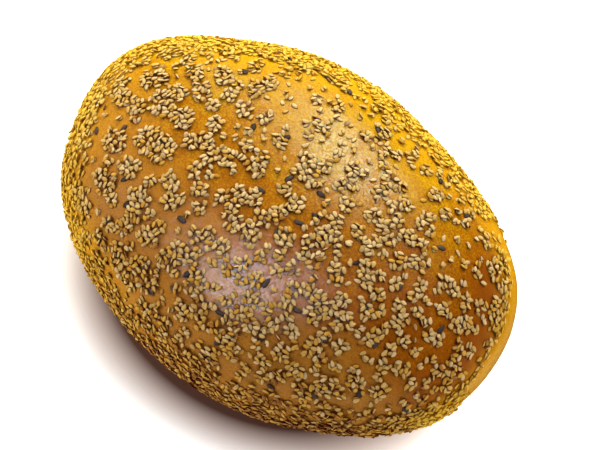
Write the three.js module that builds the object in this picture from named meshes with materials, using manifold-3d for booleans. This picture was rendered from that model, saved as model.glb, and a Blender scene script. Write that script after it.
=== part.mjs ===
// Seeded bread loaf: a free-baked oval loaf with a domed crust and a flat base, and with linseeds and
// sesame seeds baked fast to the crust. One piece of food, so one solid.
// Millimetres, +Z up. The loaf stands on Z = 0 with its long axis along X, and the origin is on the
// base, under the middle of the outline.

import * as THREE from 'three';
import { MeshSurfaceSampler } from 'three/addons/math/MeshSurfaceSampler.js';
import { mergeVertices } from 'three/addons/utils/BufferGeometryUtils.js';
import Module from 'manifold-3d';

// The loaf
const HALF_LENGTH = 108;       // of the mean outline, an ellipse, at the widest level
const HALF_WIDTH = 75.5;
const HEIGHT = 93;
const WIDEST_LEVEL = 36;       // height of the widest outline above the base
const BASE_SHARE = 0.77;       // size of the flat base against the widest outline
const PROFILE_POWER = 2.2;     // seen from the side: 2 is an ellipse, more has fuller shoulders
const PLAN_OFFSET = new THREE.Vector3(0.8, 0.35, 0);   // centres the uneven outline on the origin
const CRUST_SIDES = 60;        // facets about 9 mm across
const CRUST_ROWS = 16;

// Uneven rising leaves slow waves round the outline: how many lobes, how far they reach as a share of
// the radius, and the bearing of one crest from +X, in degrees.
const PLAN_WAVES = [
  { lobes: 3, share: 0.011, crest: 29 },
  { lobes: 5, share: 0.008, crest: 28 },
  { lobes: 6, share: 0.010, crest: -20 },
];

// The seeds, the larger kind first. A share of each one's thickness is sunk in the crust, and the
// pinch narrows one end and fattens the other, as on a drop.
const SEED_KINDS = [
  { count: 50, length: 4.5, width: 2.4, thickness: 1.2, pinch: 0.3 },    // linseed
  { count: 115, length: 3.2, width: 2.0, thickness: 1.0, pinch: 0.4 },   // sesame
];
const SEED_SUNK_SHARE = 0.4;
const SEED_SIDES = 5;
const SEED_ROWS = 4;
const SEED_TRIES = 24;         // spots tried for each seed, of which the emptiest is taken
const SEED_DRAW = 419;         // starts the random draws

// Where the crust has seeds: above a line round the foot, and above a higher line on the one stretch
// where the loaf leaned on its neighbour in the oven and the crust stayed bare.
const SEED_LINE = 14;
const BARE_LINE = 51;
const BARE_BEARING = 17;       // middle of the bare stretch from +X, in degrees
const BARE_SPREAD = 29;        // to each side of it

// Where the base's edge lies on the upright profile, as a drop below the widest level on a profile of
// unit half-axes, and the half-height of the belly that puts this edge on Z = 0
const BASE_DROP = (1 - BASE_SHARE ** PROFILE_POWER) ** (1 / PROFILE_POWER);
const BELLY_HALF = WIDEST_LEVEL / BASE_DROP;
const DOME_HALF = HEIGHT - WIDEST_LEVEL;

const WELD_DISTANCE = 1e-3;    // corners closer than this are one corner

const wasm = await Module();
wasm.setup();

// A closed geometry as a solid that can be joined to others
function toSolid(geometry) {
  geometry.deleteAttribute('normal');
  geometry.deleteAttribute('uv');
  const merged = mergeVertices(geometry, WELD_DISTANCE);
  const corners = merged.index.array;
  const triangles = [];
  for (let i = 0; i < corners.length; i += 3) {
    const [a, b, c] = corners.slice(i, i + 3);
    const isCollapsed = a === b || b === c || c === a;
    if (!isCollapsed) triangles.push(a, b, c);
  }
  return new wasm.Manifold(new wasm.Mesh({
    numProp: 3,
    vertProperties: new Float32Array(merged.attributes.position.array),
    triVerts: new Uint32Array(triangles),
  }));
}

// A solid as a geometry, shaded smoothly over its facets
function toGeometry(solid) {
  const { vertProperties, triVerts } = solid.getMesh();
  const geometry = new THREE.BufferGeometry();
  geometry.setAttribute('position', new THREE.BufferAttribute(vertProperties, 3));
  geometry.setIndex(new THREE.BufferAttribute(triVerts, 1));
  geometry.computeVertexNormals();
  return geometry;
}

// The upright profile, of unit reach at the widest level: from the middle of the base out to its edge,
// and up the belly and the dome to the top
function crustProfile() {
  const points = [new THREE.Vector2(0, 0)];
  const edgeAngle = -Math.atan2(BASE_DROP, BASE_SHARE);
  for (let row = 0; row <= CRUST_ROWS; row += 1) {
    const angle = THREE.MathUtils.lerp(edgeAngle, Math.PI / 2, row / CRUST_ROWS);
    const level = Math.cos(angle);
    const rise = Math.sin(angle);
    const reach = (level ** PROFILE_POWER + Math.abs(rise) ** PROFILE_POWER) ** (-1 / PROFILE_POWER);
    const half = rise > 0 ? DOME_HALF : BELLY_HALF;
    points.push(new THREE.Vector2(level * reach, WIDEST_LEVEL + half * rise * reach));
  }
  return points;
}

// The outline from above, as a share of the mean ellipse
function planReach(bearing) {
  return PLAN_WAVES.reduce((reach, { lobes, share, crest }) => {
    const turn = bearing - THREE.MathUtils.degToRad(crest);
    return reach + share * Math.cos(lobes * turn);
  }, 1);
}

// The profile turned round Z, and each round ring of it stretched to the outline
function crustGeometry() {
  const geometry = new THREE.LatheGeometry(crustProfile(), CRUST_SIDES).rotateX(Math.PI / 2);
  const positions = geometry.attributes.position;
  for (let i = 0; i < positions.count; i += 1) {
    const reach = planReach(Math.atan2(positions.getY(i), positions.getX(i)));
    positions.setX(i, positions.getX(i) * HALF_LENGTH * reach);
    positions.setY(i, positions.getY(i) * HALF_WIDTH * reach);
  }
  geometry.computeVertexNormals();
  return geometry.translate(...PLAN_OFFSET);
}

function isSeeded(point) {
  const bearing = Math.atan2(point.y / HALF_WIDTH, point.x / HALF_LENGTH);
  const isBareSide = Math.abs(THREE.MathUtils.radToDeg(bearing) - BARE_BEARING) < BARE_SPREAD;
  return point.z > (isBareSide ? BARE_LINE : SEED_LINE);
}

// A drop-shaped seed, long along Y and flat along Z, with its middle at the origin
function seedGeometry({ length, width, thickness, pinch }) {
  const geometry = new THREE.SphereGeometry(1, SEED_SIDES, SEED_ROWS);
  const positions = geometry.attributes.position;
  for (let i = 0; i < positions.count; i += 1) {
    const along = positions.getY(i);
    const girth = 1 - pinch * along;
    positions.setX(i, positions.getX(i) * girth);
    positions.setZ(i, positions.getZ(i) * girth);
  }
  return geometry.scale(width / 2, length / 2, thickness / 2);
}

const random = () => THREE.MathUtils.seededRandom();

// The spot, of several drawn on the seeded crust, that is furthest from every seed placed so far
function emptiestSpot(sampler, placed) {
  let best = { clearance: -1 };
  let tries = 0;
  while (tries < SEED_TRIES) {
    const spot = { point: new THREE.Vector3(), normal: new THREE.Vector3() };
    sampler.sample(spot.point, spot.normal);
    if (!isSeeded(spot.point)) continue;
    tries += 1;
    spot.clearance = Math.min(HEIGHT, ...placed.map((other) => other.distanceTo(spot.point)));
    if (spot.clearance > best.clearance) best = spot;
  }
  return best;
}

// Turns a seed to a random bearing on the crust and sinks part of it
function layOnCrust(geometry, { point, normal }, thickness) {
  const across = new THREE.Vector3(0, 0, 1).cross(normal).normalize();
  across.applyAxisAngle(normal, 2 * Math.PI * random());
  const along = new THREE.Vector3().crossVectors(normal, across);
  const raised = point.clone().addScaledVector(normal, thickness * (0.5 - SEED_SUNK_SHARE));
  const turn = new THREE.Matrix4().makeBasis(across, along, normal).setPosition(raised);
  return geometry.applyMatrix4(turn);
}

function seedSolids(crust) {
  THREE.MathUtils.seededRandom(SEED_DRAW);
  const sampler = new MeshSurfaceSampler(new THREE.Mesh(crust)).setRandomGenerator(random).build();
  const placed = [];
  return SEED_KINDS.flatMap((kind) => Array.from({ length: kind.count }, () => {
    const spot = emptiestSpot(sampler, placed);
    placed.push(spot.point);
    return toSolid(layOnCrust(seedGeometry(kind), spot, kind.thickness));
  }));
}

function makeLoaf() {
  const crust = crustGeometry();
  const seeds = seedSolids(crust);
  const seeded = seeds.reduce((solid, seed) => solid.add(seed), toSolid(crust));
  const material = new THREE.MeshStandardMaterial({ color: 0xb5792c, roughness: 0.55, metalness: 0 });
  const loaf = new THREE.Mesh(toGeometry(seeded), material);
  loaf.name = 'loaf';
  return loaf;
}

const part = new THREE.Group();
part.add(makeLoaf());

export default part;
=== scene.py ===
# %% [markdown]
# # A seeded bread loaf
# The loaf is a free-baked oval with a smooth, domed crust. Sesame seeds stick to it in loose islands, a
# coat of them runs round the sides, and a few dark linseeds lie among them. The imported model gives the
# size and place of everything. This lesson gives it the looks: a crust with real relief, thousands of
# separate seeds, a finish for each kind, and soft studio light.

import math

import bpy
import numpy as np
from mathutils import Matrix, Vector, noise
from mathutils.kdtree import KDTree


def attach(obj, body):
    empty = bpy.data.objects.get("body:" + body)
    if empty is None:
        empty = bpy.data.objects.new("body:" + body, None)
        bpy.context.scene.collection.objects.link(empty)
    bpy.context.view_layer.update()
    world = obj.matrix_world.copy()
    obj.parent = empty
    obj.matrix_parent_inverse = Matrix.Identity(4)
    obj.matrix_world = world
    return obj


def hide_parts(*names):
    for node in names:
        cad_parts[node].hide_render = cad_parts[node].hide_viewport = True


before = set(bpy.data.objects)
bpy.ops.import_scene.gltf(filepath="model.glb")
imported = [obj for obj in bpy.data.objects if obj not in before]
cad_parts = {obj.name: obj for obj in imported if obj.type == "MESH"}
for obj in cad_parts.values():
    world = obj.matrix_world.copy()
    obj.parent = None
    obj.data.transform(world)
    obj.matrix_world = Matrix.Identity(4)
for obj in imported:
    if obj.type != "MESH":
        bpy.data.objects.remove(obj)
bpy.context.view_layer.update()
MM = 0.001

# %% [markdown]
# ## The camera
# The loaf is seen from well above, turned so that its long side runs from upper left to lower right.
# A short lens close by would make the near seeds clearly larger than the far ones, but here they are
# almost alike, so the camera stands back and the lens is long. Its place follows from two angles, a
# distance and the size of one picture element, which keeps the framing easy to correct.

# %% Place the camera
PHOTO_WIDTH = 600
PHOTO_HEIGHT = 450
VIEW_AZIMUTH = math.radians(39.75)
VIEW_ELEVATION = math.radians(62)
CAMERA_DISTANCE = 850 * MM
PIXEL_SIZE = 0.4165 * MM           # what one pixel covers at the middle of the loaf
LOAF_PIXEL = (283.3, 221.0)        # where the middle of the loaf lies in the picture
LOAF_MIDDLE = Vector((0.8 * MM, 0.35 * MM, 46.5 * MM))
SENSOR_WIDTH = 36

camera_back = Vector((
    math.sin(VIEW_AZIMUTH) * math.cos(VIEW_ELEVATION),
    -math.cos(VIEW_AZIMUTH) * math.cos(VIEW_ELEVATION),
    math.sin(VIEW_ELEVATION),
))
camera_right = Vector((math.cos(VIEW_AZIMUTH), math.sin(VIEW_AZIMUTH), 0))
camera_up = camera_back.cross(camera_right)
off_right = (PHOTO_WIDTH / 2 - LOAF_PIXEL[0]) * PIXEL_SIZE
off_up = (LOAF_PIXEL[1] - PHOTO_HEIGHT / 2) * PIXEL_SIZE
camera_place = LOAF_MIDDLE + camera_back * CAMERA_DISTANCE
camera_place += camera_right * off_right + camera_up * off_up

camera = bpy.data.objects.new("camera", bpy.data.cameras.new("camera"))
camera.data.sensor_width = SENSOR_WIDTH
camera.data.lens = SENSOR_WIDTH * CAMERA_DISTANCE / PIXEL_SIZE / PHOTO_WIDTH
turn = Matrix((camera_right, camera_up, camera_back)).transposed()
camera.matrix_world = Matrix.Translation(camera_place) @ turn.to_4x4()
bpy.context.scene.collection.objects.link(camera)
bpy.context.scene.camera = camera
print("lens in mm:", round(camera.data.lens, 1))

# %% [markdown]
# ## The form of the crust
# A loaf that rises freely is close to a squashed ball: an oval from above, a dome over the widest level,
# and a shorter belly under it that the baking tray cuts off flat. It could be sculpted, but a formula
# has two gains. It repeats the sizes of the solid exactly, and it can be asked for points as close
# together as the relief needs.

# %% Write the crust as a formula
HALF_LENGTH = 108 * MM
HALF_WIDTH = 75.5 * MM
HEIGHT = 93 * MM
WIDEST_LEVEL = 36 * MM
BASE_SHARE = 0.77                  # size of the flat base against the widest outline
PROFILE_POWER = 2.2                # seen from the side: 2 is an ellipse, more has fuller shoulders
PLAN_OFFSET = np.array([0.8, 0.35, 0]) * MM
# Slow waves round the outline: lobes, share of the radius, and the crest in degrees
PLAN_WAVES = [(3, 0.011, 29), (5, 0.008, 28), (6, 0.010, -20)]

BASE_DROP = (1 - BASE_SHARE ** PROFILE_POWER) ** (1 / PROFILE_POWER)
BELLY_HALF = WIDEST_LEVEL / BASE_DROP
DOME_HALF = HEIGHT - WIDEST_LEVEL
BASE_ANGLE = -math.atan2(BASE_DROP, BASE_SHARE)


def plan_reach(bearing):
    """The outline from above, as a share of the mean oval."""
    waves = [share * np.cos(lobes * (bearing - math.radians(crest))) for lobes, share, crest in PLAN_WAVES]
    return 1 + sum(waves)


def crust_at(bearing, angle):
    """Points of the smooth crust, by the bearing round the loaf and the angle up from the widest level."""
    level = np.cos(angle)
    rise = np.sin(angle)
    reach = (level ** PROFILE_POWER + np.abs(rise) ** PROFILE_POWER) ** (-1 / PROFILE_POWER)
    out = level * reach * plan_reach(bearing)
    half = np.where(rise > 0, DOME_HALF, BELLY_HALF)
    across = np.stack([HALF_LENGTH * out * np.cos(bearing), HALF_WIDTH * out * np.sin(bearing)], axis=-1)
    height = WIDEST_LEVEL + half * rise * reach + 0 * bearing
    return np.concatenate([across, height[..., None]], axis=-1) + PLAN_OFFSET


top_point = crust_at(np.array(0.0), np.array(math.pi / 2))
print("top of the smooth crust in mm:", (top_point / MM).round(1))

# %% [markdown]
# ## A mesh from arrays
# Blender can build a mesh from a list of faces in Python, but with thousands of seeds that is slow.
# Handing over whole arrays is quick, and one helper then serves both the crust and the seeds: each is a
# closed skin of rings with a tip at either end.

# %% Helpers for closed skins
def skin_corners(rings, sides):
    """Triangles of a closed skin: a first tip, then rings of points, then a last tip."""
    side = np.arange(sides)
    after = (side + 1) % sides
    ring = 1 + sides * np.arange(rings)[:, None]
    low = ring[:-1] + side
    low_after = ring[:-1] + after
    high = ring[1:] + side
    high_after = ring[1:] + after
    walls = np.concatenate([
        np.stack([low, low_after, high_after], axis=-1).reshape(-1, 3),
        np.stack([low, high_after, high], axis=-1).reshape(-1, 3),
    ])
    last_ring = 1 + sides * (rings - 1)
    last_tip = np.full(sides, 1 + sides * rings)
    first_cap = np.stack([np.zeros(sides, dtype=int), 1 + after, 1 + side], axis=-1)
    last_cap = np.stack([last_ring + side, last_ring + after, last_tip], axis=-1)
    return np.concatenate([first_cap, walls, last_cap])


def piece_from(name, points, corners, finish, fields):
    """A smooth mesh object from arrays, with a finish and named values for its points."""
    mesh = bpy.data.meshes.new(name)
    mesh.vertices.add(len(points))
    mesh.vertices.foreach_set("co", points.astype(np.float32).ravel())
    mesh.loops.add(corners.size)
    mesh.loops.foreach_set("vertex_index", corners.astype(np.int32).ravel())
    mesh.polygons.add(len(corners))
    mesh.polygons.foreach_set("loop_start", np.arange(0, corners.size, 3, dtype=np.int32))
    mesh.update(calc_edges=True)
    mesh.shade_smooth()
    for field, values in fields.items():
        attribute = mesh.attributes.new(field, "FLOAT", "POINT")
        attribute.data.foreach_set("value", values.astype(np.float32))
    mesh.materials.append(finish)
    piece = bpy.data.objects.new(name, mesh)
    bpy.context.scene.collection.objects.link(piece)
    print(f"{name}: {len(corners)} triangles")
    return piece


print("triangles of a skin of two rings with six sides:", len(skin_corners(2, 6)))

# %% [markdown]
# ## Measures of the crust
# Three small tools come back all through the lesson. A ramp turns a measure into a soft edge, a noise
# gives patches of a chosen size, and the normals say which way the crust faces. They could be nodes, but
# here they have to steer the places of the seeds as well as the colours.

# %% Helpers for measures
def ramp(value, start, end):
    """Smoothly from 0 at start to 1 at end, whichever way round they are."""
    share = np.clip((value - start) / (end - start), 0, 1)
    return share * share * (3 - 2 * share)


def noise_at(points, size, where=0):
    """Noise of about -1 to 1 whose patches are about that size, read from one part of the noise."""
    away = Vector((where, where, where))
    return np.array([noise.noise(Vector(point) / size + away) for point in points])


def normals_of(points, corners):
    """The direction straight out of the skin at each point."""
    a, b, c = (points[corners[:, corner]] for corner in range(3))
    facing = np.cross(b - a, c - a)
    total = np.zeros_like(points)
    for corner in range(3):
        np.add.at(total, corners[:, corner], facing)
    return total / np.linalg.norm(total, axis=1, keepdims=True)


print("a ramp at its start, middle and end:", ramp(np.array([0.0, 0.5, 1.0]), 0, 1))

# %% [markdown]
# ## The relief of the crust
# Dough doesn't rise evenly. Broad, shallow lumps catch the light in patches, and the skin between them
# is faintly puckered. Both are real relief here, moved along the crust's own direction by two noises,
# because a bump in the finish alone would leave the outline and the highlights too perfect. The base
# stays flat where it rests.

# %% Model the crust
CRUST_SIDES = 420
CRUST_RINGS = 190
BASE_RINGS = 16
CRUST_INSET = 1.8 * MM             # leaves room for the seeds inside the size of the solid
LUMP_SIZE = 32 * MM
LUMP_DEPTH = 0.5 * MM
PUCKER_SIZE = 4.5 * MM
PUCKER_DEPTH = 0.09 * MM
PUCKER_NOISE = 40
FOOT_HEIGHT = 6 * MM               # the relief fades out below this

bearings = np.linspace(0, 2 * math.pi, CRUST_SIDES, endpoint=False)
angles = np.linspace(BASE_ANGLE, math.pi / 2, CRUST_RINGS + 1)[:-1]
dome_rings = crust_at(bearings[None, :], angles[:, None])
base_shares = np.linspace(0, 1, BASE_RINGS + 1)[1:-1]
base_rings = PLAN_OFFSET + base_shares[:, None, None] * (dome_rings[0] - PLAN_OFFSET)
all_rings = np.concatenate([base_rings, dome_rings])
crust_xyz = np.concatenate([PLAN_OFFSET[None], all_rings.reshape(-1, 3), top_point[None]])
crust_corners = skin_corners(len(all_rings), CRUST_SIDES)

lumps = LUMP_DEPTH * noise_at(crust_xyz, LUMP_SIZE)
puckers = PUCKER_DEPTH * noise_at(crust_xyz, PUCKER_SIZE, where=PUCKER_NOISE)
moves = (lumps + puckers - CRUST_INSET) * ramp(crust_xyz[:, 2], 0, FOOT_HEIGHT)
crust_xyz = crust_xyz + moves[:, None] * normals_of(crust_xyz, crust_corners)
crust_normals = normals_of(crust_xyz, crust_corners)
print("relief in mm:", (moves.min() / MM).round(2), "to", (moves.max() / MM).round(2))

# %% [markdown]
# ## Where the seeds stick
# The wet loaf is rolled in seeds, so its sides take a coat and its top only what falls there, in islands
# with bare crust between. The coat is thin on the near side. One end leaned on the next loaf in the oven:
# there the foot stayed pale and bare. Each of these is a field, a number from 0 to 1 at any point, so the
# same rules can guide both the seeds and the colour of the crust.

# %% Describe the zones of the crust
SEED_LINE = 13 * MM                # no seeds below this, where the loaf rested on the tray
BACK_SIDE = np.array([-0.64, 0.77, 0])
SHADE_SIDE = np.array([0.31, -0.95, 0])   # the near side, towards the loaf's own shadow
COAT_LINE = 62 * MM                # the coat starts at this height on the ends
COAT_TILT = 15 * MM                # and this much higher at the back, lower at the front
COAT_FADE = 3 * MM
COAT_WOBBLE = 5 * MM
WOBBLE_SIZE = 15 * MM
COAT_NOISE = 19
COAT_RAG = 9 * MM
RAG_SIZE = 4 * MM
RAG_NOISE = 29
COAT_TAKES = 0.4                   # how likely the coat holds a seed that lands on it
THIN_TAKES = 0.16                  # and how likely on the near side, where it is thinnest
THIN_START = 0.2                   # how far the crust faces that way where it starts to thin
THIN_FULL = 0.6
BARE_FROM = -9                     # the bare stretch, in degrees from +X
BARE_TO = 48
BARE_FADE = 5
BARE_LINE = 47 * MM                # its upper edge at +X
BARE_RISE = 0.33 * MM              # how the edge climbs with each degree
BARE_WOBBLE = 3 * MM
BARE_NOISE = 7
BARE_EDGE = 1.5 * MM
TINY = 1e-6                        # the shortest length that is divided by


def bearing_of(points):
    return np.degrees(np.arctan2(points[:, 1] / HALF_WIDTH, points[:, 0] / HALF_LENGTH))


def bare_side(points):
    """1 at the bearings of the end that leaned on its neighbour."""
    bearing = bearing_of(points)
    after = ramp(bearing, BARE_FROM - BARE_FADE, BARE_FROM + BARE_FADE)
    return after * ramp(bearing, BARE_TO + BARE_FADE, BARE_TO - BARE_FADE)


def bare_field(points):
    """1 on the bare stretch at the foot of this end."""
    level = points[:, 2] + BARE_WOBBLE * noise_at(points, WOBBLE_SIZE, where=BARE_NOISE)
    line = BARE_LINE + BARE_RISE * bearing_of(points)
    return bare_side(points) * ramp(level, line + BARE_EDGE, line - BARE_EDGE)


def depth_in_coat(points, normals):
    """How far points lie below the upper edge of the coat."""
    sideways = normals * [1, 1, 0]
    sideways = sideways / np.maximum(np.linalg.norm(sideways, axis=1, keepdims=True), TINY)
    line = COAT_LINE + COAT_TILT * (sideways @ BACK_SIDE)
    return line - points[:, 2] + COAT_WOBBLE * noise_at(points, WOBBLE_SIZE, where=COAT_NOISE)


def coat_field(points, normals):
    """How likely a seed sticks in the coat round the sides."""
    depth = depth_in_coat(points, normals) + COAT_RAG * noise_at(points, RAG_SIZE, where=RAG_NOISE)
    thin = ramp(normals @ SHADE_SIDE, THIN_START, THIN_FULL)
    takes = COAT_TAKES + (THIN_TAKES - COAT_TAKES) * thin
    return takes * ramp(depth, -COAT_FADE, COAT_FADE) * (1 - bare_side(points))


print("bare crust in percent:", (100 * bare_field(crust_xyz).mean()).round(1))

# %% [markdown]
# ## Islands on the top
# Seeds cling to each other where the dough is wettest. Scattering them singly would give an even
# peppering, which looks printed, and a noise gives blots without the clear channels between them. So the
# islands are set one by one, as rounds in the picture, with two or three rounds for a long one. The
# smallest hold only two or three seeds.

# %% Set the islands
# Each island is x, y and reach, in pixels of the picture
LEFT_END = [
    (148, 141, 14), (162, 148, 14), (148, 81, 9), (160, 79, 8), (123, 97, 10), (137, 107, 9),
    (165, 104, 15), (178, 95, 9), (115, 141, 12), (131, 168, 11), (106, 182, 12), (113, 200, 7),
    (80, 191, 9), (85, 206, 7), (140, 197, 12), (170, 181, 9), (173, 200, 11), (134, 215, 8),
    (159, 228, 7), (109, 225, 8), (124, 227, 8), (146, 236, 9), (99, 236, 7), (165, 260, 9),
    (178, 254, 12), (139, 264, 10), (117, 248, 7), (122, 262, 10), (127, 276, 7), (149, 282, 10),
    (135, 119, 5), (108, 162, 5), (151, 181, 5), (149, 215, 6),
]
CROWN = [
    (195, 73, 10), (201, 92, 10), (183, 118, 11), (216, 124, 8), (222, 77, 9), (236, 86, 7),
    (230, 96, 8), (256, 90, 8), (256, 66, 7), (245, 110, 9), (270, 84, 8), (265, 117, 7), (190, 143, 8),
    (206, 142, 9), (208, 160, 8), (224, 158, 10), (260, 159, 9), (258, 170, 8), (195, 171, 8),
    (223, 195, 7), (200, 190, 8), (200, 207, 8), (240, 195, 10), (253, 198, 9), (232, 215, 11),
    (233, 226, 8), (249, 228, 7), (263, 219, 10), (278, 215, 9), (285, 190, 7), (295, 205, 9),
    (247, 147, 7), (280, 142, 8), (195, 236, 8), (206, 235, 8), (252, 238, 10), (213, 106, 6),
    (211, 175, 6), (234, 171, 5), (245, 161, 5), (235, 157, 5), (285, 238, 10),
]
FAR_SIDE = [
    (308, 165, 11), (312, 180, 10), (300, 172, 7), (327, 167, 7), (352, 169, 7), (390, 181, 8),
    (379, 195, 8), (346, 205, 7), (412, 156, 7), (345, 86, 6), (338, 108, 6), (366, 136, 6),
    (385, 134, 6), (388, 118, 6), (378, 108, 6), (338, 155, 6), (340, 186, 6), (353, 186, 5),
    (399, 186, 6), (318, 126, 5), (326, 133, 5), (310, 135, 5), (364, 174, 5), (385, 147, 5),
    (383, 156, 5), (384, 167, 5), (397, 155, 5), (316, 99, 5),
]
MIDDLE = [
    (404, 205, 8), (373, 216, 8), (385, 226, 8), (397, 220, 7), (336, 222, 8), (322, 233, 8),
    (336, 238, 8), (359, 233, 8), (307, 243, 7), (315, 261, 9), (303, 255, 6), (292, 268, 7),
    (337, 270, 8), (336, 281, 6), (368, 248, 7), (377, 241, 7), (389, 239, 7), (408, 238, 9),
    (423, 244, 7), (366, 268, 8), (366, 281, 9), (378, 294, 7), (307, 289, 7), (292, 291, 8),
    (287, 304, 8), (316, 301, 10), (312, 315, 9), (325, 310, 10), (341, 302, 9), (343, 315, 8),
    (368, 312, 8), (399, 305, 7), (400, 321, 9), (398, 262, 8), (383, 256, 5), (395, 284, 6),
    (380, 276, 5), (393, 207, 6), (322, 214, 5),
]
NEAR_SIDE = [
    (243, 262, 8), (224, 245, 7), (222, 256, 7), (227, 272, 8), (243, 281, 7), (255, 279, 9),
    (198, 276, 8), (192, 287, 8), (205, 284, 6), (250, 299, 9), (243, 312, 9), (229, 318, 8),
    (237, 330, 8), (251, 326, 8), (268, 307, 7), (292, 331, 7), (200, 313, 9), (183, 314, 7),
    (215, 328, 7), (222, 336, 7), (314, 349, 11), (320, 359, 8), (341, 346, 7), (355, 373, 7),
    (353, 384, 6), (365, 338, 9), (375, 335, 7), (403, 340, 7), (383, 366, 7), (402, 368, 9),
    (379, 390, 9), (295, 368, 8), (317, 387, 7), (304, 395, 7), (233, 349, 10), (282, 352, 9),
    (264, 375, 8), (279, 376, 7), (211, 355, 9), (262, 257, 6), (276, 271, 6), (193, 265, 6),
    (180, 304, 6), (197, 300, 6), (268, 325, 6), (325, 334, 6), (335, 366, 5), (340, 393, 6),
    (390, 350, 6),
]
RIGHT_END = [
    (435, 196, 7), (425, 222, 9), (420, 263, 10), (493, 266, 8), (494, 277, 6), (499, 286, 6),
    (413, 297, 7), (437, 338, 8), (429, 334, 6), (453, 362, 8), (438, 371, 7), (447, 376, 7),
    (443, 310, 9), (453, 291, 7), (455, 326, 8), (466, 322, 6), (471, 329, 6), (498, 303, 8),
    (494, 315, 7), (495, 327, 7), (490, 345, 6), (482, 368, 6), (467, 351, 6), (445, 214, 6),
    (430, 232, 6), (426, 172, 6), (421, 285, 6), (440, 174, 5),
]
PAIRS = [
    (143, 304, 6), (152, 312, 7), (160, 302, 5), (165, 322, 6), (152, 327, 5), (163, 332, 6),
    (184, 334, 6), (201, 326, 5), (104, 261, 4), (104, 246, 4), (131, 245, 4), (155, 244, 4),
    (177, 289, 4), (132, 287, 4), (197, 254, 5), (176, 271, 5), (155, 270, 4), (217, 288, 5),
    (227, 300, 5), (215, 306, 4), (211, 246, 5), (212, 263, 4), (295, 344, 4), (256, 344, 5),
    (261, 358, 6), (281, 256, 6), (275, 328, 4), (288, 317, 4), (323, 245, 6), (337, 325, 6),
    (315, 371, 4), (335, 383, 5), (365, 355, 4), (378, 377, 4), (245, 370, 4), (302, 376, 4),
    (380, 313, 4), (417, 313, 6), (425, 322, 5), (421, 299, 5), (448, 277, 4), (440, 290, 6),
    (465, 306, 5), (466, 297, 4), (478, 304, 4), (415, 350, 6), (385, 329, 5), (397, 332, 4),
    (364, 326, 4), (458, 347, 4), (425, 361, 4), (410, 382, 6), (444, 387, 5), (363, 383, 4),
    (504, 258, 4), (507, 269, 5), (507, 284, 5), (508, 297, 5), (505, 309, 5), (507, 318, 4),
    (503, 331, 4), (497, 339, 5), (488, 246, 4), (479, 263, 4), (478, 276, 4), (488, 357, 5),
    (476, 378, 5), (466, 384, 5),
]
SEEN_ISLANDS = LEFT_END + CROWN + FAR_SIDE + MIDDLE + NEAR_SIDE + RIGHT_END + PAIRS
print("islands set by eye:", len(SEEN_ISLANDS))

# %% [markdown]
# ## From the picture to the crust
# A spot on the crust belongs to an island if it appears inside a round in the picture, and if the crust
# faces the camera there. The rounds could be projected onto the mesh once, but looking up each spot as
# the camera sees it needs only the arithmetic of the lens.

# %% Look up the islands
ISLAND_MARGIN = 0.2                # pixels that an island's outermost spots keep inside it
SEEN_FACING = 0.12                 # below this the crust turns away from the camera
FOCAL_PIXELS = CAMERA_DISTANCE / PIXEL_SIZE


def picture_of(points):
    """Where points appear in the picture, in its pixels."""
    away = points - np.array(camera_place)
    depth = -(away @ np.array(camera_back))
    x = PHOTO_WIDTH / 2 + FOCAL_PIXELS * (away @ np.array(camera_right)) / depth
    y = PHOTO_HEIGHT / 2 - FOCAL_PIXELS * (away @ np.array(camera_up)) / depth
    return x, y


def is_seen(normals):
    return normals @ np.array(camera_back) > SEEN_FACING


def island_depth(points, normals):
    """How deep in an island points lie: 0 at its edge, 1 in its middle, and below 0 between islands."""
    x, y = picture_of(points)
    depth = np.full(len(points), -np.inf)
    for island_x, island_y, reach in SEEN_ISLANDS:
        gap = np.hypot(x - island_x, y - island_y)
        depth = np.maximum(depth, 1 - gap / (reach - ISLAND_MARGIN))
    return np.where(is_seen(normals), depth, -np.inf)


print("crust in islands in percent:", (100 * (island_depth(crust_xyz, crust_normals) > 0).mean()).round(1))

# %% [markdown]
# ## Darts at the crust
# Every spot for a seed is a dart: a random place on the crust, as likely on a large triangle as its area
# says. Some darts have to keep their distance, so a second helper picks them one by one, each with room
# to those before. The draws start from a fixed number, so every run gives the same loaf.

# %% Helpers for darts
DRAW_START = 419
draws = np.random.default_rng(DRAW_START)


def scatter(count):
    """Spots spread evenly over the crust by area, and the direction out of the crust there."""
    a, b, c = (crust_xyz[crust_corners[:, corner]] for corner in range(3))
    areas = np.linalg.norm(np.cross(b - a, c - a), axis=1)
    picks = draws.choice(len(areas), size=count, p=areas / areas.sum())
    u, v = draws.random((2, count))
    over = u + v > 1
    u = np.where(over, 1 - u, u)
    v = np.where(over, 1 - v, v)
    weights = np.stack([1 - u - v, u, v], axis=1)[..., None]
    spots = (crust_xyz[crust_corners[picks]] * weights).sum(axis=1)
    normals = (crust_normals[crust_corners[picks]] * weights).sum(axis=1)
    seeded = spots[:, 2] > SEED_LINE
    normals = normals[seeded]
    return spots[seeded], normals / np.linalg.norm(normals, axis=1, keepdims=True)


def spread(spots, room):
    """Picks spots one by one, each with its own room to those picked before."""
    picks = []
    for number, spot in enumerate(spots):
        gaps = np.linalg.norm(spots[picks] - spot, axis=1)
        if not picks or gaps.min() > room[number]:
            picks.append(number)
    return picks


def tree_of(points):
    """A tree that finds the nearest of these points quickly."""
    tree = KDTree(len(points))
    for number, point in enumerate(points):
        tree.insert(point, number)
    tree.balance()
    return tree


print("random draws start from", DRAW_START)

# %% [markdown]
# ## Strays between the islands
# Between the islands lie single seeds, more of them towards one end and above the coat. They have no
# places worth naming, so their spots come from darts that keep apart from each other and from the
# islands. With them, the rules for where a seed sticks are complete.

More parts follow.
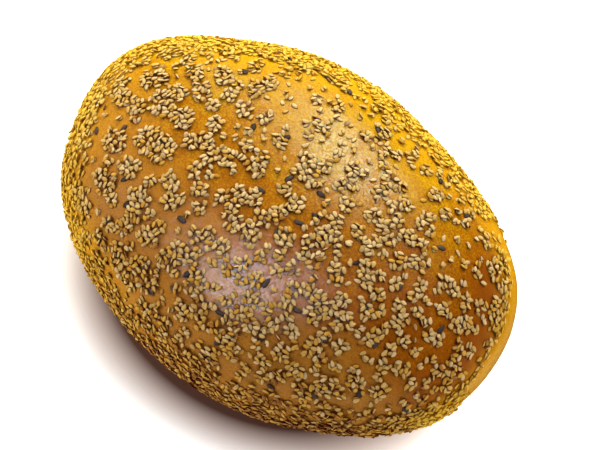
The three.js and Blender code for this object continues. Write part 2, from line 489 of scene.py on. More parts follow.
# %% Spread the strays
STRAY_DARTS = 9000
STRAY_SPACING = 4.2 * MM
STRAY_ROOM = (0.8, 1.5)            # how far the spacing varies, as a share
STRAY_REACH = (0.5 * MM, 1.5 * MM)
STRAY_START = -60 * MM             # few strays at this end of the loaf, and many at the next
STRAY_FULL = 40 * MM
STRAY_FEW = 0.18                   # the chance of one where there are few
STRAY_CLEAR = -0.75                # how far outside an island they keep
FRINGE = 15 * MM                   # above the coat they get denser over this height
FRINGE_SHARE = 0.75
FRINGE_ROOM = 0.6                  # of the usual room, at the coat's edge
ISLAND_RAG = 0.3                   # how ragged the edge of an island is
ISLAND_RAG_SIZE = 2.5 * MM
ISLAND_NOISE = 3

spots, normals = scatter(STRAY_DARTS)
fringe = ramp(depth_in_coat(spots, normals), -FRINGE, 0)
likely = STRAY_FEW + (1 - STRAY_FEW) * ramp(spots[:, 0], STRAY_START, STRAY_FULL)
likely = np.maximum(likely, FRINGE_SHARE * fringe)
is_free = (island_depth(spots, normals) < STRAY_CLEAR) & (draws.random(len(spots)) < likely)
spots = spots[is_free]
room = STRAY_SPACING * draws.uniform(*STRAY_ROOM, len(spots)) * (1 - (1 - FRINGE_ROOM) * fringe[is_free])
stray_spots = spots[spread(spots, room)]
stray_reach = draws.uniform(*STRAY_REACH, len(stray_spots))
stray_tree = tree_of(stray_spots)


def takes_seed(points, normals):
    """How likely a seed sticks at each point."""
    rag = ISLAND_RAG * noise_at(points, ISLAND_RAG_SIZE, where=ISLAND_NOISE)
    islands = island_depth(points, normals) + rag > 0
    nearest = [stray_tree.find(point) for point in points]
    strays = np.array([gap < stray_reach[stray] for point, stray, gap in nearest])
    return np.maximum(islands | strays, coat_field(points, normals)) * (1 - bare_field(points))


print("groups of strays:", len(stray_spots))

# %% [markdown]
# ## The seed bed
# A seed comes to rest flat, beside its neighbours or leaning on them, and never inside them. A physics
# simulation could find that, but thousands of grains take minutes. Here a bed remembers how each seed
# lies, in cells, so that a new seed compares its outline only with those close by.

# %% Write the seed bed
OUTLINE_STEPS = 12
CLEARANCE = 0.85                   # of its outline a seed keeps clear
CELL = 4 * MM
outline_turn = np.linspace(0, 2 * math.pi, OUTLINE_STEPS, endpoint=False)


def side_of(normals, turns):
    """Directions along the crust, turned round its normals."""
    level = np.cross([0, 0, 1], normals)
    flat = np.linalg.norm(level, axis=1, keepdims=True)
    level = np.where(flat > TINY, level / np.maximum(flat, TINY), [1, 0, 0])
    other = np.cross(normals, level)
    return level * np.cos(turns)[:, None] + other * np.sin(turns)[:, None]


class SeedBed:
    """Where each seed lies, in cells, so that a new one sees only its neighbours."""

    def __init__(self):
        self.cells = {}
        self.rows = []

    def cell(self, spot):
        return tuple(int(math.floor(value / CELL)) for value in spot)

    def near(self, spot):
        x, y, z = self.cell(spot)
        steps = (-1, 0, 1)
        around = [(x + i, y + j, z + k) for i in steps for j in steps for k in steps]
        return [row for place in around for row in self.cells.get(place, ())]

    def add(self, row):
        self.cells.setdefault(self.cell(row["spot"]), []).append(row)
        self.rows.append(row)


def lap(spot, longs, acrosses, size, neighbours):
    """For each turn tried, the share of the seed's outline that lies over its neighbours."""
    if not neighbours:
        return np.zeros(len(longs))
    reach = longs[:, None] * np.cos(outline_turn)[None, :, None] * size[0] * CLEARANCE / 2
    reach = reach + acrosses[:, None] * np.sin(outline_turn)[None, :, None] * size[1] * CLEARANCE / 2
    outline = spot + reach
    middles = np.array([row["spot"] for row in neighbours])
    along = np.array([row["long"] / row["claim"][0] * 2 for row in neighbours])
    aside = np.array([row["across"] / row["claim"][1] * 2 for row in neighbours])
    away = outline[:, :, None] - middles
    inside = (away * along).sum(axis=-1) ** 2 + (away * aside).sum(axis=-1) ** 2 < 1
    return inside.any(axis=2).mean(axis=1)


bed = SeedBed()
print("cells of the seed bed in mm:", CELL / MM)

# %% [markdown]
# ## A seed comes to rest
# Each dart is a seed that tries a few turns and takes the one that overlaps its neighbours least. It lies
# flat if it is clear, climbs on top if it only laps over, and is thrown away otherwise. That is a rough
# picture of what a hand does when it presses seeds onto dough, and it takes seconds.

# %% Write the throw
SPINS = 6
LAP_FLAT = 0.09                    # a seed that overlaps no more than this lies flat
LAP_TOP = 0.7                      # and up to this it lies on its neighbours
TOP_SHARE = 0.35                   # of the overlapping seeds stay, and the others fall off


def throw(kind, spots, normals, chances, sizes, claim_share=1.0):
    """Throws seeds of one kind at the spots and keeps those that come to rest.

    Others may lap over a seed that claims only a share of its own size.
    """
    takes = draws.random(len(spots)) < chances
    first_turns = draws.uniform(0, 2 * math.pi, len(spots))
    stays = draws.random(len(spots)) < TOP_SHARE
    for number in np.flatnonzero(takes):
        spot = spots[number]
        normal = normals[number]
        size = sizes[number]
        turns = first_turns[number] + np.arange(SPINS) * math.pi / SPINS
        longs = side_of(np.repeat(normal[None], SPINS, axis=0), turns)
        acrosses = np.cross(normal, longs)
        neighbours = bed.near(spot)
        laps = lap(spot, longs, acrosses, size, neighbours)
        best = int(laps.argmin())
        is_flat = laps[best] <= LAP_FLAT
        if not is_flat:
            upper = [row for row in neighbours if row["is_top"]]
            upper_lap = lap(spot, longs[best:best + 1], acrosses[best:best + 1], size, upper)[0]
            if laps[best] > LAP_TOP or upper_lap > LAP_FLAT or not stays[number]:
                continue
        bed.add({
            "kind": kind, "spot": spot, "normal": normal, "size": size, "claim": size * claim_share,
            "long": longs[best], "across": acrosses[best], "is_top": not is_flat,
        })


print("turns that each seed tries:", SPINS)

# %% [markdown]
# ## Linseeds first, then sesame
# The few large seeds are laid before the many small ones, so that sesame fills in round them and laps
# over them, as it does on the loaf. The linseeds that the camera sees have their places listed, and the
# others are spread at random. Sizes vary by some percent from seed to seed.

# %% Throw the seeds
LINSEED_SIZE = np.array([4.2, 2.2, 1.1]) * MM      # length, width, thickness
LINSEED_SPACING = 17 * MM
LINSEED_ROOM = (0.5, 1.5)          # how far the spacing varies, as a share
LINSEED_CLAIM = 0.45               # of their size that they keep clear of sesame
HIDDEN_DARTS = 1500
BARE_LIMIT = 0.5                   # from here on the crust counts as bare
SESAME_SIZE = np.array([3.05, 1.8, 0.85]) * MM
SESAME_DARTS = 150000
SIZE_SPREAD = 0.08
SIZE_LIMITS = (0.8, 1.2)
# Linseeds that stand out, as x and y in pixels of the picture
SEEN_LINSEEDS = [
    (316, 119), (363, 134), (378, 130), (287, 137), (254, 127), (245, 73), (256, 93), (350, 92),
    (328, 78), (290, 61), (321, 195), (314, 186), (290, 178), (300, 222), (315, 216), (260, 190),
    (277, 235), (124, 180), (127, 203), (162, 143), (124, 129), (166, 78), (440, 182), (467, 216),
    (441, 247), (399, 288), (357, 262), (367, 307), (298, 310), (267, 283), (187, 274), (220, 313),
    (326, 339), (376, 343), (402, 345), (442, 330), (152, 292), (147, 268), (182, 220), (261, 337),
    (271, 387), (314, 395), (359, 394), (405, 410), (97, 103), (100, 243), (173, 288), (218, 343),
    (110, 220), (96, 131),
]


def sizes_for(size, count):
    return size * np.clip(draws.normal(1, SIZE_SPREAD, (count, 3)), *SIZE_LIMITS)


spots, normals = scatter(SESAME_DARTS)
x, y = picture_of(spots)
seen = is_seen(normals)
gaps = [np.where(seen, np.hypot(x - at_x, y - at_y), np.inf) for at_x, at_y in SEEN_LINSEEDS]
lin_picks = [int(gap.argmin()) for gap in gaps]
hidden = np.flatnonzero(~seen & (bare_field(spots) < BARE_LIMIT))[:HIDDEN_DARTS]
hidden_room = LINSEED_SPACING * draws.uniform(*LINSEED_ROOM, len(hidden))
lin_picks += list(hidden[spread(spots[hidden], hidden_room)])

every = np.ones(len(lin_picks))
lin_sizes = sizes_for(LINSEED_SIZE, len(lin_picks))
throw("linseed", spots[lin_picks], normals[lin_picks], every, lin_sizes, LINSEED_CLAIM)
throw("sesame", spots, normals, takes_seed(spots, normals), sizes_for(SESAME_SIZE, len(spots)))
tops = sum(row["is_top"] for row in bed.rows)
print("seeds:", len(bed.rows), "of them on others:", tops, "and linseeds:", len(lin_picks))

# %% [markdown]
# ## One seed
# A seed is a drop: flattened, with a round top, blunt at one end and narrower at the other. A sphere that
# is squeezed would do, but its top is too sharp, so the ring across the seed is a little squarer than a
# circle. Few rings are enough at this size, because the mesh is shaded smoothly.

# %% Shape one seed
SEED_SIDES = 8
SEED_RINGS = 4
EDGE_POWER = 2.6                   # across a seed: 2 is an ellipse, more has a flatter top

ring_turn = np.linspace(0, math.pi, SEED_RINGS + 2)[1:-1]
side_turn = (np.arange(SEED_SIDES) + 0.5) * 2 * math.pi / SEED_SIDES
side_across = np.cos(side_turn)
side_up = np.sin(side_turn)
side_reach = (np.abs(side_across) ** EDGE_POWER + np.abs(side_up) ** EDGE_POWER) ** (-1 / EDGE_POWER)
seed_rings = np.stack([
    np.repeat(-np.cos(ring_turn)[:, None], SEED_SIDES, axis=1),
    np.sin(ring_turn)[:, None] * side_across * side_reach,
    np.sin(ring_turn)[:, None] * side_up * side_reach,
], axis=-1).reshape(-1, 3)
unit_seed = np.concatenate([[[-1, 0, 0]], seed_rings, [[1, 0, 0]]])
seed_corners = skin_corners(SEED_RINGS, SEED_SIDES)
print("triangles of one seed:", len(seed_corners))

# %% [markdown]
# ## From places to meshes
# The one seed is shaped for every place at once by array arithmetic, with its own size and lean, and each
# kind becomes one joined mesh. Copies of an object would also do, but thousands of objects slow Blender
# down. Values go along for the finish: those of each seed, and how low on the seed a point lies.

# %% Shape the seeds
SUNK_SHARE = 0.3                   # of a seed's thickness lies in the crust
TOP_LIFT = 0.65 * MM               # how much higher a seed on others lies
TOP_PITCH = 0.22                   # spreads of the lean, in radians
FLAT_PITCH = 0.08
TOP_ROLL = 0.25
FLAT_ROLL = 0.12
EDGE_SHARE = 0.12                  # of the seeds lie on edge
EDGE_ROLL = (0.7, 1.2)             # and are rolled over this far
EDGE_LIFT = 0.25                   # and raised by this share of their width


def lean(long, across, up, pitch, roll):
    """Pitches the seeds' tips up, then rolls them about their length."""
    pitch = pitch[:, None]
    roll = roll[:, None]
    pitched = long * np.cos(pitch) + up * np.sin(pitch)
    up = up * np.cos(pitch) - long * np.sin(pitch)
    rolled = across * np.cos(roll) + up * np.sin(roll)
    return pitched, rolled, up * np.cos(roll) - across * np.sin(roll)


def shaped_seeds(rows, pinch, finish, name, values):
    """One joined mesh of all these seeds, with values for each seed."""
    count = len(rows)
    spot, normal, long, across, size = (
        np.array([row[field] for row in rows]) for field in ("spot", "normal", "long", "across", "size")
    )
    is_top = np.array([row["is_top"] for row in rows])
    on_edge = ~is_top & (draws.random(count) < EDGE_SHARE)
    pitch = np.where(is_top, draws.normal(0, TOP_PITCH, count), draws.normal(0, FLAT_PITCH, count))
    roll = np.where(is_top, draws.normal(0, TOP_ROLL, count), draws.normal(0, FLAT_ROLL, count))
    roll = np.where(on_edge, draws.choice([-1, 1], count) * draws.uniform(*EDGE_ROLL, count), roll)
    lift = size[:, 2] * (0.5 - SUNK_SHARE) + TOP_LIFT * is_top
    lift = lift + EDGE_LIFT * size[:, 1] * np.abs(np.sin(roll))
    centre = spot + normal * lift[:, None]
    long, across, up = lean(long, across, normal, pitch, roll)
    girth = 1 - pinch * unit_seed[:, 0]
    shape = unit_seed * np.stack([np.ones_like(girth), girth, girth], axis=1)
    half = size[:, None] / 2 * shape
    points = centre[:, None] + half[..., :1] * long[:, None]
    points = points + half[..., 1:2] * across[:, None] + half[..., 2:] * up[:, None]
    starts = np.arange(count)[:, None, None] * len(unit_seed)
    fields = {field: np.repeat(value, len(unit_seed)) for field, value in values.items()}
    fields["low"] = np.tile((1 - unit_seed[:, 2]) / 2, count)
    return piece_from(name, points.reshape(-1, 3), (seed_corners + starts).reshape(-1, 3), finish, fields)


print("share of a seed's thickness in the crust:", SUNK_SHARE)

# %% [markdown]
# ## Finishes from nodes
# A finish is a small graph of nodes that ends in one shader. It could be wired by hand in the shader
# editor, but written as code it can be read and repeated. A few helpers keep the graphs short: they add a
# node with its settings, read a named value from the mesh, and mix two colours.

# %% Helpers for finishes
NOISE_LOW = 0.3                    # a noise in a finish keeps mostly between these
NOISE_HIGH = 0.7
MIX_SHARE = 0                      # the sockets of a mix node that serve for colours
MIX_FIRST = 6
MIX_SECOND = 7
MIX_RESULT = 2


class Finish:
    """A material and the shader that its nodes lead to."""

    def __init__(self, name):
        self.material = bpy.data.materials.new(name)
        self.material.use_nodes = True
        self.tree = self.material.node_tree
        self.shader = self.tree.nodes["Principled BSDF"]

    def give(self, socket, value):
        """Gives the shader a constant, or what a node makes."""
        self.feed(self.shader.inputs[socket], value)

    def add(self, kind, inputs=None, **settings):
        node = self.tree.nodes.new(kind)
        for key, value in settings.items():
            setattr(node, key, value)
        for key, value in (inputs or {}).items():
            self.feed(node.inputs[key], value)
        return node

    def feed(self, socket, value):
        if isinstance(value, bpy.types.NodeSocket):
            self.tree.links.new(value, socket)
        else:
            socket.default_value = value

    def field(self, name):
        return self.add("ShaderNodeAttribute", attribute_name=name).outputs["Fac"]

    def places(self):
        return self.add("ShaderNodeTexCoord").outputs["Object"]

    def grain(self, size, detail=2, roughness=0.5):
        inputs = {"Vector": self.places(), "Scale": 1 / size, "Detail": detail, "Roughness": roughness}
        return self.add("ShaderNodeTexNoise", inputs).outputs["Fac"]

    def cells(self, size):
        return self.add("ShaderNodeTexVoronoi", {"Vector": self.places(), "Scale": 1 / size}).outputs

    def sum(self, first, second):
        return self.add("ShaderNodeMath", {0: first, 1: second}, operation="ADD").outputs[0]

    def product(self, first, second):
        return self.add("ShaderNodeMath", {0: first, 1: second}, operation="MULTIPLY").outputs[0]

    def between(self, value, low, high, start=0.0, end=1.0):
        inputs = {"Value": value, "From Min": low, "From Max": high, "To Min": start, "To Max": end}
        return self.add("ShaderNodeMapRange", inputs).outputs["Result"]

    def swing(self, noise_value, depth):
        return self.between(noise_value, NOISE_LOW, NOISE_HIGH, -depth, depth)

    def mix(self, share, first, second):
        node = self.add("ShaderNodeMix", data_type="RGBA")
        self.feed(node.inputs[MIX_SHARE], share)
        self.feed(node.inputs[MIX_FIRST], first)
        self.feed(node.inputs[MIX_SECOND], second)
        return node.outputs[MIX_RESULT]

    def colours(self, value, stops):
        node = self.add("ShaderNodeValToRGB", {"Fac": value})
        ramp_stops = node.color_ramp.elements
        while len(ramp_stops) < len(stops):
            ramp_stops.new(0.5)
        for stop, (place, colour) in zip(ramp_stops, stops):
            stop.position = place
            stop.color = colour
        return node.outputs["Color"]


def rgb(red, green, blue):
    return (red, green, blue, 1.0)


print("white in a finish:", rgb(1.0, 1.0, 1.0))

# %% [markdown]
# ## The colour of the crust
# Baked crust is golden to orange-brown, and here it is also painted lighter where it faces the light and
# browner where it turns away, a painted light and shade. Up close it is mottled, freckled with rust and
# specked with bran. A painted picture could hold all that, but it would blur up close. So the slow changes
# come from fields on the mesh, and the rest from noises at real size.

# %% Colour the crust
# Painted light and shade: golden for crust facing the light, brown for crust turned away
GOLD = rgb(0.66, 0.36, 0.004)
AMBER = rgb(0.50, 0.17, 0.002)
BROWN = rgb(0.34, 0.082, 0.002)
BROWNING_AND_LIGHT_STOPS = [(0.1, GOLD), (0.45, AMBER), (0.8, BROWN)]
# Painted light: a paler, pinker crust on the near left, standing in for its soft shade and the cool
# highlight's haze
TAN = rgb(0.62, 0.28, 0.035)
# Painted rim light: the crust's colour where light from the white floor is painted in
PAINTED_RIM_LIGHT_CRUST = rgb(0.88, 0.43, 0.006)
PALE = rgb(0.74, 0.375, 0.05)
RUST = rgb(0.26, 0.058, 0.002)
BRAN = rgb(0.10, 0.019, 0.002)
# Painted shade between close seeds
PAINTED_GAP_SHADE = rgb(0.12, 0.021, 0.001)
MOTTLE_DEPTH = 0.4
BLOTCH_SIZE = 14 * MM
BLOTCH_DEPTH = 0.12
FRECKLE_SIZE = 0.7 * MM
FRECKLE_START = 0.5
FRECKLE_FULL = 0.66
FRECKLE_SHARE = 0.6
SPECK_SPACING = 2.4 * MM
SPECK_PICK = (0.6, 0.65)           # a cell of the pattern above this holds a speck
SPECK_EDGE = (0.18, 0.08)          # from its edge to its middle, as shares of the spacing
SPECK_SHARE = 0.7


def crust_colour(finish, mottle):
    # Browning with painted light and shade, mottling and blotches
    browning_and_painted_light = finish.sum(finish.field("browning_and_painted_light"), finish.swing(mottle, MOTTLE_DEPTH))
    browning_and_painted_light = finish.sum(browning_and_painted_light, finish.swing(finish.grain(BLOTCH_SIZE, detail=3), BLOTCH_DEPTH))
    colour = finish.colours(browning_and_painted_light, BROWNING_AND_LIGHT_STOPS)
    # Painted light on the near left
    colour = finish.mix(finish.field("tan_painted_light"), colour, TAN)
    # Painted rim light on the crust
    colour = finish.mix(finish.field("painted_rim_light"), colour, PAINTED_RIM_LIGHT_CRUST)
    colour = finish.mix(finish.field("bare"), colour, PALE)
    freckles = finish.grain(FRECKLE_SIZE, detail=3, roughness=0.8)
    freckles = finish.between(freckles, FRECKLE_START, FRECKLE_FULL, 0.0, FRECKLE_SHARE)
    colour = finish.mix(freckles, colour, RUST)
    specks = finish.cells(SPECK_SPACING)
    speck_share = finish.between(specks["Distance"], *SPECK_EDGE, 0.0, SPECK_SHARE)
    speck_share = finish.product(speck_share, finish.between(specks["Color"], *SPECK_PICK))
    colour = finish.mix(speck_share, colour, BRAN)
    # Painted shade in the gaps between close seeds
    return finish.mix(finish.field("painted_gap_shade"), colour, PAINTED_GAP_SHADE)


print("browning stops:", [place for place, colour in BROWNING_AND_LIGHT_STOPS])

# %% [markdown]
# ## The shine of the crust
# The crust has a satin shine that breaks up into fine dots, because its skin is full of tiny pits. An
# even shine looks like varnish. Here each small cell of a pattern has its own shine, the rim with the
# painted glow has less of it, and a low bump from the same mottling as the colour roughens the highlights.

# %% Finish the crust
MOTTLE_SIZE = 0.9 * MM
DOT_SIZE = 0.6 * MM
DOT_RANGE = (0.25, 0.75)
DOT_SHINE = (0.12, 0.74)
# Less shine where the rim light is painted
PAINTED_RIM_LIGHT_LIMIT = 0.6                  # from here on the rim has only this share of the shine
PAINTED_RIM_SHINE = 0.15
CRUST_ROUGHNESS = (0.15, 0.24)
GRAIN_SIZE = 0.5 * MM
GRAIN_SHARE = 0.5
BUMP_SHARE = 0.3
BUMP_DEPTH = 0.3 * MM


def crust_finish():
    finish = Finish("crust")
    mottle = finish.grain(MOTTLE_SIZE, detail=4, roughness=0.7)
    finish.give("Base Color", crust_colour(finish, mottle))
    gloss = finish.between(finish.cells(DOT_SIZE)["Color"], *DOT_RANGE, *DOT_SHINE)
    rim_gloss = finish.between(finish.field("painted_rim_light"), 0.0, PAINTED_RIM_LIGHT_LIMIT, 1.0, PAINTED_RIM_SHINE)
    finish.give("Specular IOR Level", finish.product(gloss, rim_gloss))
    finish.give("Roughness", finish.between(mottle, NOISE_LOW, NOISE_HIGH, *CRUST_ROUGHNESS))
    height = finish.sum(mottle, finish.product(finish.grain(GRAIN_SIZE), GRAIN_SHARE))
    bump = finish.add("ShaderNodeBump", {"Height": height, "Strength": BUMP_SHARE, "Distance": BUMP_DEPTH})
    finish.give("Normal", bump.outputs["Normal"])
    return finish.material


print("shine of the dots from", DOT_SHINE[0], "to", DOT_SHINE[1])

# %% [markdown]
# ## Light that sits in the colour
# Round its rim the loaf glows golden: thin crust and seeds there catch the light that a white floor
# throws up, except on the side of the shadow. And between close seeds the crust is darkest. Lamps alone
# would need a floor too bright for the picture, so both are partly painted into the colour, as fields on
# the mesh: a painted rim light and a painted shade between seeds. The painted glow fades slowly on the side
# that the camera doesn't see.

# %% Write the fields of light
# Where the painted rim light lies, by how squarely the crust faces the camera
RIM_START = 0.78                   # how squarely the crust faces the camera where the glow starts
RIM_FULL = 0.33
FAR_START = 0.08                   # where it starts to fade again, out of sight
FAR_END = -0.65
FAR_SHARE = 0.15                   # what stays of it there
SHADOW_START = 0.7                 # how far the crust faces the shadow where the glow ends
SHADOW_FULL = 0.95
# Painted shade: the crust darkens between seeds as the third seed comes near
GAP_SEEDS = 3                      # the crust darkens by how near the third seed is
GAP_OPEN = 2.6 * MM
GAP_CLOSED = 1.8 * MM


def painted_rim_light_field(normals):
    """1 on the rim, where painted light stands in for the white floor's bounce, except on the shadow side."""
    facing = normals @ np.array(camera_back)
    rim = ramp(facing, RIM_START, RIM_FULL) * (FAR_SHARE + (1 - FAR_SHARE) * ramp(facing, FAR_END, FAR_START))
    return rim * (1 - ramp(normals @ SHADE_SIDE, SHADOW_START, SHADOW_FULL))


def painted_gap_shade_field(points):
    """1 in the gaps between close seeds, where the crust gets the darkest painted shade."""
    tree = tree_of([row["spot"] for row in bed.rows])
    third = np.array([tree.find_n(point, GAP_SEEDS)[-1][2] for point in points])
    return ramp(third, GAP_OPEN, GAP_CLOSED)


crust_painted_rim_light = painted_rim_light_field(crust_normals)
print("crust with the glow in percent:", (100 * crust_painted_rim_light.mean()).round(1))

# %% [markdown]
# ## The crust as a piece
# Now each point of the crust gets its values: painted light and shade by the way it faces, a paler painted
# tan on the near left, a painted glow on the rim, pale at the bare foot and a painted shade between seeds.
# Working them out on the mesh, and not in the finish, keeps the rules beside those for the seeds.

# %% Make the crust
LIT_SIDE = np.array([-0.3, 0.75, 0.6])
END_SIDE = np.array([0.77, 0.64, 0])
# Where the painted tan light of the near left lies
TAN_SIDE = np.array([-0.4, -0.92, 0])
# Painted light and shade: more golden towards the light, browner away from it
BROWN_AWAY = 0.95                  # browning where the crust faces neither to nor from the light
PAINTED_LIGHT_FALL = 0.9                   # and how much less it is towards the light
BROWN_LIMIT = 0.8
# Browner towards the right end
END_BROWN = 0.32                   # more browning on the right end
END_START = 0.45
END_FULL = 0.65
# How much of the painted tan light goes into the colour, and where it starts and is full
TAN_SHARE = 0.6
TAN_START = 0.05
TAN_FULL = 0.45
PAINTED_RIM_LIGHT_SHARE = 0.85
# How dark the painted gap shade is, and how much of it gives way to the painted rim light
PAINTED_GAP_SHARE = 0.85
GAP_GLOW = 0.6                     # of the gaps' darkness is lost in the glow
PALE_TOP = 50 * MM                 # the bare foot is pale below these heights
PALE_FULL = 40 * MM
BASE_LIMIT = 0.5 * MM

is_base = crust_xyz[:, 2] < BASE_LIMIT
# Painted light and shade on the crust, by the way it faces the light
browning_and_painted_light = np.minimum(BROWN_AWAY - PAINTED_LIGHT_FALL * (crust_normals @ LIT_SIDE), BROWN_LIMIT)
browning_and_painted_light = browning_and_painted_light + END_BROWN * ramp(crust_normals @ END_SIDE, END_START, END_FULL)
pale_foot = ramp(crust_xyz[:, 2], PALE_TOP, PALE_FULL)
crust_fields = {
    "browning_and_painted_light": np.where(is_base, BROWN_LIMIT, browning_and_painted_light),
    # Painted tan light on the near left
    "tan_painted_light": TAN_SHARE * ramp(crust_normals @ TAN_SIDE, TAN_START, TAN_FULL) * ~is_base,
    # Painted rim light
    "painted_rim_light": PAINTED_RIM_LIGHT_SHARE * crust_painted_rim_light * ~is_base,
    "bare": bare_field(crust_xyz) * pale_foot * ~is_base,
    # Painted shade between close seeds
    "painted_gap_shade": PAINTED_GAP_SHARE * painted_gap_shade_field(crust_xyz) * (1 - GAP_GLOW * crust_painted_rim_light),
}
crust = piece_from("crust", crust_xyz, crust_corners, crust_finish(), crust_fields)

# %% [markdown]
# ## The finish of the seeds
# A seed is matt and a little darker where it is toasted, and it gets a painted shade low down, where it
# touches the crust. That dark foot is what sets each seed off from the next. Shadows alone leave a heap of
# seeds as one pale mass, so the foot is a painted shade that follows how low a point lies on its seed.

# %% Finish the seeds
# Painted rim light on the seeds
PAINTED_RIM_LIGHT_SEED = rgb(0.95, 0.58, 0.035)
# Painted shade at the foot of each seed
PAINTED_FOOT_SHADE = rgb(0.10, 0.014, 0.001)
# Where the painted foot shade starts and where it is full, by how low a point lies on the seed
FOOT_START = 0.18                  # how low on the seed the scorching starts
FOOT_FULL = 0.46
FOOT_SHARE = 0.95
# Share of the painted foot shade that gives way to the painted rim light
FOOT_GLOW = 0.45                   # of the scorching is lost in the glow


def seed_finish(name, fresh, toasted, painted_rim_light, roughness, shine):
    finish = Finish(name)
    finish.give("Roughness", roughness)
    finish.give("Specular IOR Level", shine)
    colour = finish.mix(finish.field("toast"), fresh, toasted)
    # Painted rim light on the seeds
    colour = finish.mix(finish.field("painted_rim_light"), colour, painted_rim_light)
    # Painted shade at the foot of each seed
    foot = finish.between(finish.field("low"), FOOT_START, FOOT_FULL, 0.0, FOOT_SHARE)
    colour = finish.mix(finish.product(foot, finish.field("outline")), colour, PAINTED_FOOT_SHADE)
    finish.give("Base Color", colour)
    return finish.material


def values_for(rows):
    """How toasted each seed is, how much painted rim light it gets, and how much painted shade at its foot.
    """
    painted_rim_light = painted_rim_light_field(np.array([row["normal"] for row in rows]))
    # outline: how much of the painted foot shade a seed keeps
    return {"toast": draws.random(len(rows)), "painted_rim_light": PAINTED_RIM_LIGHT_SHARE * painted_rim_light, "outline": 1 - FOOT_GLOW * painted_rim_light}


sesame_rows = [row for row in bed.rows if row["kind"] == "sesame"]
lin_rows = [row for row in bed.rows if row["kind"] == "linseed"]
print("sesame seeds:", len(sesame_rows), "linseeds:", len(lin_rows))

# %% [markdown]
# ## Four degrees of toasting
# Sesame is cream on top of the loaf and more golden on the sides, a few seeds are dark, and each one
# differs a little. One mesh with one finish could carry all of that, but four kinds, each with its own
# pair of colours, are easier to tune against a picture. Every seed draws its toasting, plus painted
# light and shade by the way it faces, and that sorts it.

# %% Make the sesame
# Each kind is a name and its colour when fresh and when toasted
SESAME_KINDS = [
    ("sesame_pale", rgb(0.77, 0.54, 0.26), rgb(0.69, 0.45, 0.165)),
    ("sesame_straw", rgb(0.73, 0.465, 0.155), rgb(0.63, 0.36, 0.088)),
    ("sesame_golden", rgb(0.72, 0.39, 0.06), rgb(0.60, 0.285, 0.03)),
    ("sesame_toasted", rgb(0.54, 0.24, 0.04), rgb(0.35, 0.125, 0.012)),
]
KIND_LIMITS = [0.30, 0.52, 0.75]
TOAST_TOP = 0.22                   # the usual toasting of a seed on top
TOAST_SIDE = 0.4                   # and how much more on an upright side
TOAST_SPREAD = 0.16
DARK_SHARE = 0.08                  # of the seeds are dark, by this much more
DARK_TOAST = 0.35
# Toasting and painted light by side: the direction, how much, and between which shares of facing it
TOAST_AND_LIGHT_SIDES = [(SHADE_SIDE, 0.04, 0.2, 0.5), (-END_SIDE, 0.06, 0.1, 0.5), (LIT_SIDE, 0.18, 0.75, 0.95)]
SESAME_ROUGHNESS = 0.45
SESAME_SHINE = 0.1
SESAME_PINCH = 0.22                # how much narrower the one end is

sesame_normals = np.array([row["normal"] for row in sesame_rows])
toasting_and_painted_light = TOAST_TOP + TOAST_SIDE * (1 - sesame_normals[:, 2])
toasting_and_painted_light = toasting_and_painted_light + draws.normal(0, TOAST_SPREAD, len(sesame_rows))
toasting_and_painted_light = toasting_and_painted_light + DARK_TOAST * (draws.random(len(sesame_rows)) < DARK_SHARE)
# Painted light and shade: seeds facing the light go to golden kinds, those on the shade side to darker ones,
# and the left end gets darker kinds too
for direction, more, start, full in TOAST_AND_LIGHT_SIDES:
    toasting_and_painted_light = toasting_and_painted_light + more * ramp(sesame_normals @ direction, start, full)
kind_of = np.digitize(toasting_and_painted_light, KIND_LIMITS)
seed_pieces = []
for kind, (name, fresh, toasted) in enumerate(SESAME_KINDS):
    rows = [sesame_rows[number] for number in np.flatnonzero(kind_of == kind)]
    finish = seed_finish(name, fresh, toasted, PAINTED_RIM_LIGHT_SEED, SESAME_ROUGHNESS, SESAME_SHINE)
    seed_pieces.append((shaped_seeds(rows, SESAME_PINCH, finish, name, values_for(rows)), "sesame"))

# %% [markdown]
# ## The linseeds
# Whole linseeds are larger than sesame, dark brown, and smooth enough to catch a little light. They go
# through the same helpers, so they differ only in their values. On the rim the painted glow only turns
# them to their lighter grey, so they stay dark there too.

# %% Make the linseeds
LINSEED_GREY = rgb(0.09, 0.062, 0.045)
LINSEED_DARK = rgb(0.035, 0.022, 0.017)
LINSEED_ROUGHNESS = 0.5
LINSEED_SHINE = 0.2
LINSEED_PINCH = 0.25

lin_finish = seed_finish(
    "linseed", LINSEED_GREY, LINSEED_DARK, LINSEED_GREY, LINSEED_ROUGHNESS, LINSEED_SHINE,
)
lin_piece = shaped_seeds(lin_rows, LINSEED_PINCH, lin_finish, "linseed", values_for(lin_rows))
seed_pieces.append((lin_piece, "linseed"))

# %% [markdown]
# ## Everything rides on the loaf
# The imported model is one solid loaf, and all of these pieces together take its place. Parenting them by
# hand would work in this file alone. Tying them to the frame says which body carries them, so the dressed
# loaf can move wherever the solid does. The solid itself is hidden.

# %% Tie the pieces to the frame
pieces = [(crust, "crust")] + seed_pieces
for piece, slot in pieces:
    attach(piece, "root")
    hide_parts("loaf")
print("pieces on the loaf:", len(pieces))

# %% [markdown]
# ## The floor
# The loaf lies on a white sweep that burns out to pure white, with a soft warm shadow under the near
# side. A real lamp would have to be balanced between the two. Here the floor glows as painted light,
# except in an oval like the loaf's own, moved a little to the near side, where the glow fades and a
# painted shadow darkens the floor.

# %% Lay the floor
FLOOR_HALF = 3
FLOOR_ROUGHNESS = 0.8
FLOOR_SHINE = 0.2
FLOOR_GLOW = 0.85
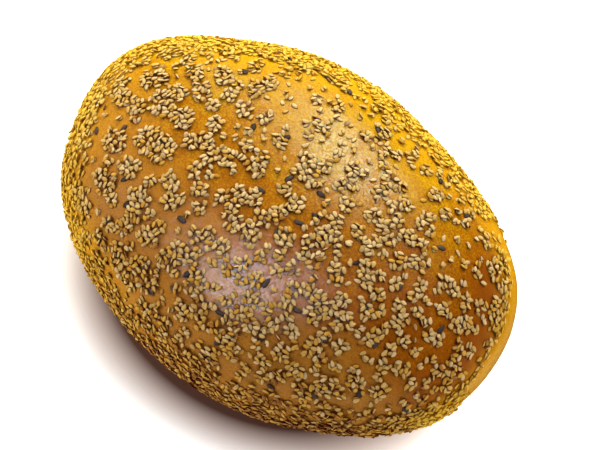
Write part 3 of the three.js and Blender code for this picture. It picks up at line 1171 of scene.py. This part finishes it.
# The painted shadow on the floor is the loaf's own oval, moved to here
SHADE_MIDDLE = (-1 * MM, -20.5 * MM)      # the shadow is the loaf's own oval, moved to here
SHADE_START = 0.66                 # and it fades between these shares of the oval
SHADE_END = 0.92
PAINTED_FLOOR_SHADOW = rgb(0.17, 0.09, 0.07)
PAINTED_WARM_GLOW = rgb(0.95, 0.76, 0.70)
FLOOR_WHITE = rgb(0.95, 0.95, 0.95)


def floor_finish():
    finish = Finish("floor")
    finish.give("Roughness", FLOOR_ROUGHNESS)
    finish.give("Specular IOR Level", FLOOR_SHINE)
    middle = (-SHADE_MIDDLE[0] / HALF_LENGTH, -SHADE_MIDDLE[1] / HALF_WIDTH, 0)
    oval = finish.add("ShaderNodeMapping", {
        "Vector": finish.places(), "Location": middle, "Scale": (1 / HALF_LENGTH, 1 / HALF_WIDTH, 1),
    })
    away = finish.add("ShaderNodeVectorMath", {0: oval.outputs[0]}, operation="LENGTH").outputs["Value"]
    open_floor = finish.between(away, SHADE_START, SHADE_END)
    # Painted shadow under the near side
    finish.give("Base Color", finish.mix(open_floor, PAINTED_FLOOR_SHADOW, FLOOR_WHITE))
    # Painted light: a warm glow at the edge of the painted shadow
    finish.give("Emission Color", finish.mix(open_floor, PAINTED_WARM_GLOW, FLOOR_WHITE))
    # Painted light: the floor glows outside the shadow
    finish.give("Emission Strength", finish.product(open_floor, FLOOR_GLOW))
    return finish.material


floor_corners = [(-FLOOR_HALF, -FLOOR_HALF, 0), (FLOOR_HALF, -FLOOR_HALF, 0)]
floor_corners += [(FLOOR_HALF, FLOOR_HALF, 0), (-FLOOR_HALF, FLOOR_HALF, 0)]
floor_mesh = bpy.data.meshes.new("floor")
floor_mesh.from_pydata(floor_corners, [], [(0, 1, 2, 3)])
floor_mesh.materials.append(floor_finish())
floor = bpy.data.objects.new("floor", floor_mesh)
bpy.context.scene.collection.objects.link(floor)
floor.visible_glossy = False
print("floor in metres:", 2 * FLOOR_HALF)

# %% [markdown]
# ## The light
# Three large soft cards light the loaf: a strong one low behind it, which makes the far rim shine, one
# overhead and a weak one at the left. Two more only show as reflections: a greenish window on the far
# shoulder and a cool card on the near one. A card that did both would light the seeds as well as the
# highlight, so each gives just one of the two.

# %% Set the lights
LIGHT_DISTANCE = 1.2
ROOM_WHITE = rgb(1.0, 1.0, 1.0)
ROOM_STRENGTH = 0.06
SOFT_WHITE = (1.0, 0.98, 0.95)
# Each is a name, a direction, a strength, a width and height in metres, a colour, and what it gives
SOFTBOXES = [
    ("window", (-0.19, 0.69, 0.69), 0.58, 0.4, 0.75, (0.62, 1.0, 0.75), "reflection"),
    ("back_card", (-0.60, 0.80, 0.45), 1.38, 0.8, 0.7, (0.95, 1.0, 0.82), "light"),
    ("ceiling", (0.385, 0.32, 0.87), 0.66, 0.7, 0.7, SOFT_WHITE, "light"),
    ("left_card", (-0.82, -0.54, 0.30), 0.62, 0.7, 0.7, SOFT_WHITE, "light"),
    ("cool_card", (-0.11, -0.56, 0.80), 1.0, 0.46, 1.0, (0.70, 0.80, 1.0), "reflection"),
]


def softbox(name, direction, strength, width, height, colour, gives):
    """A softbox aimed at the loaf. At strength 1 it lights a white card facing it to full white."""
    light = bpy.data.lights.new(name, "AREA")
    light.shape = "RECTANGLE"
    light.size = width
    light.size_y = height
    light.color = colour
    light.energy = strength * (math.pi * LIGHT_DISTANCE) ** 2
    box = bpy.data.objects.new(name, light)
    box.location = LOAF_MIDDLE + Vector(direction).normalized() * LIGHT_DISTANCE
    box.rotation_euler = Vector(direction).to_track_quat("Z", "Y").to_euler()
    box.visible_diffuse = gives == "light"
    box.visible_glossy = gives == "reflection"
    bpy.context.scene.collection.objects.link(box)


for settings in SOFTBOXES:
    softbox(*settings)
world = bpy.data.worlds.new("room")
world.use_nodes = True
room_light = world.node_tree.nodes["Background"]
room_light.inputs["Color"].default_value = ROOM_WHITE
room_light.inputs["Strength"].default_value = ROOM_STRENGTH
world.cycles_visibility.glossy = False
bpy.context.scene.world = world
bpy.context.scene.view_settings.view_transform = "Standard"
print("softboxes:", len(SOFTBOXES))
